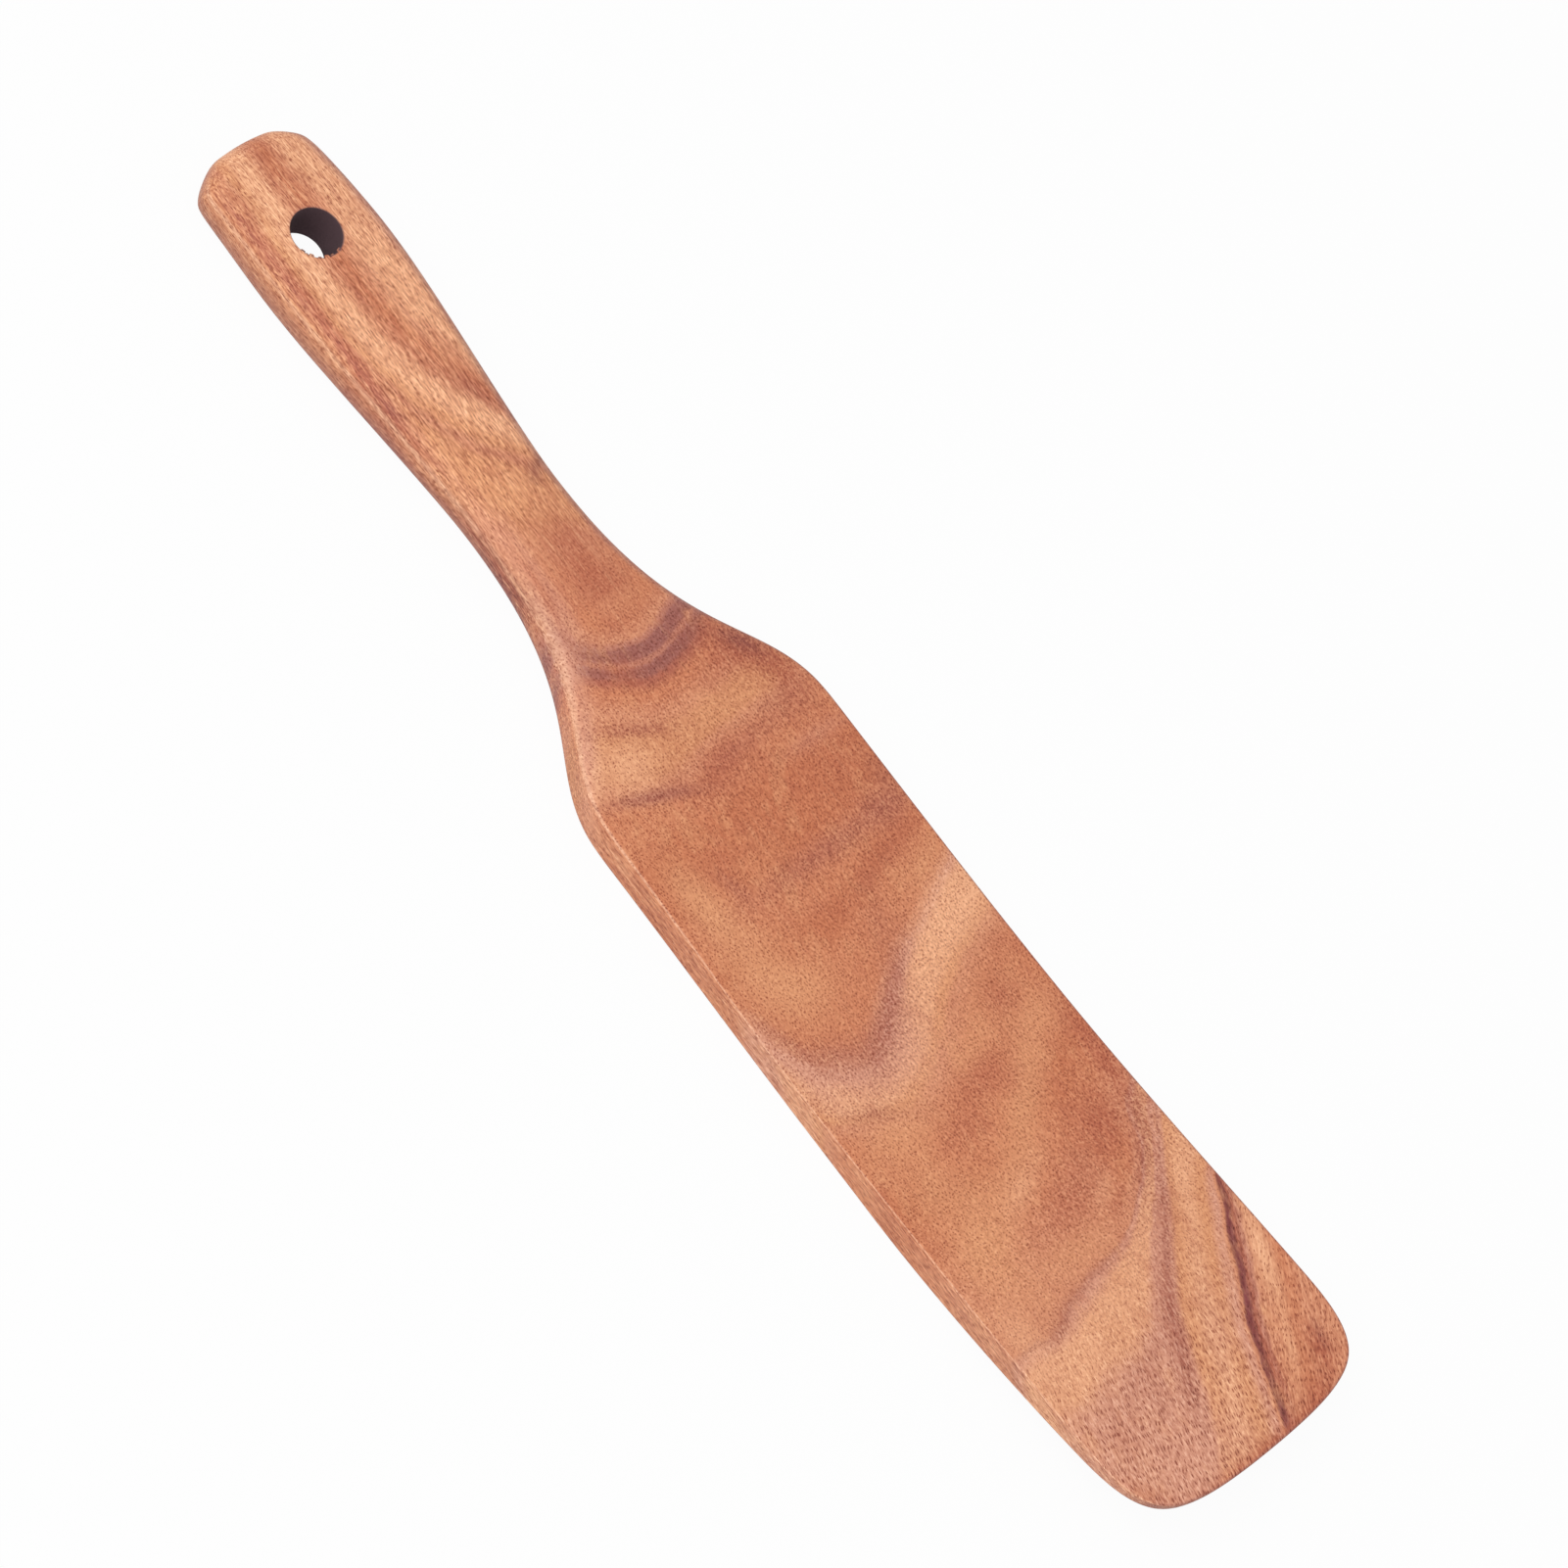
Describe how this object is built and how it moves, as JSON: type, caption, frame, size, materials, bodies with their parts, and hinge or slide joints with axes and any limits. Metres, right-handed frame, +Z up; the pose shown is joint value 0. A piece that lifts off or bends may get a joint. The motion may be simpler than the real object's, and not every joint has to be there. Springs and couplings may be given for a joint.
{
  "type": "wooden spatula",
  "caption": "One-piece wooden kitchen spatula with a rounded handle, a hanging hole, flared shoulders and a long flat blade with a thin upswept tip.",
  "frame": {"origin": "on the flat back, below the middle of the overall length and width", "axes": "+X from the handle end to the tip, +Y across the blade, +Z up out of the face that lies uppermost"},
  "size_m": [0.3, 0.0602, 0.0128],
  "materials": {
    "oiled_wood": "sanded and oiled, satin"
  },
  "bodies": {
    "root": {"spatula_body": "oiled_wood"}
  },
  "joints": []
}
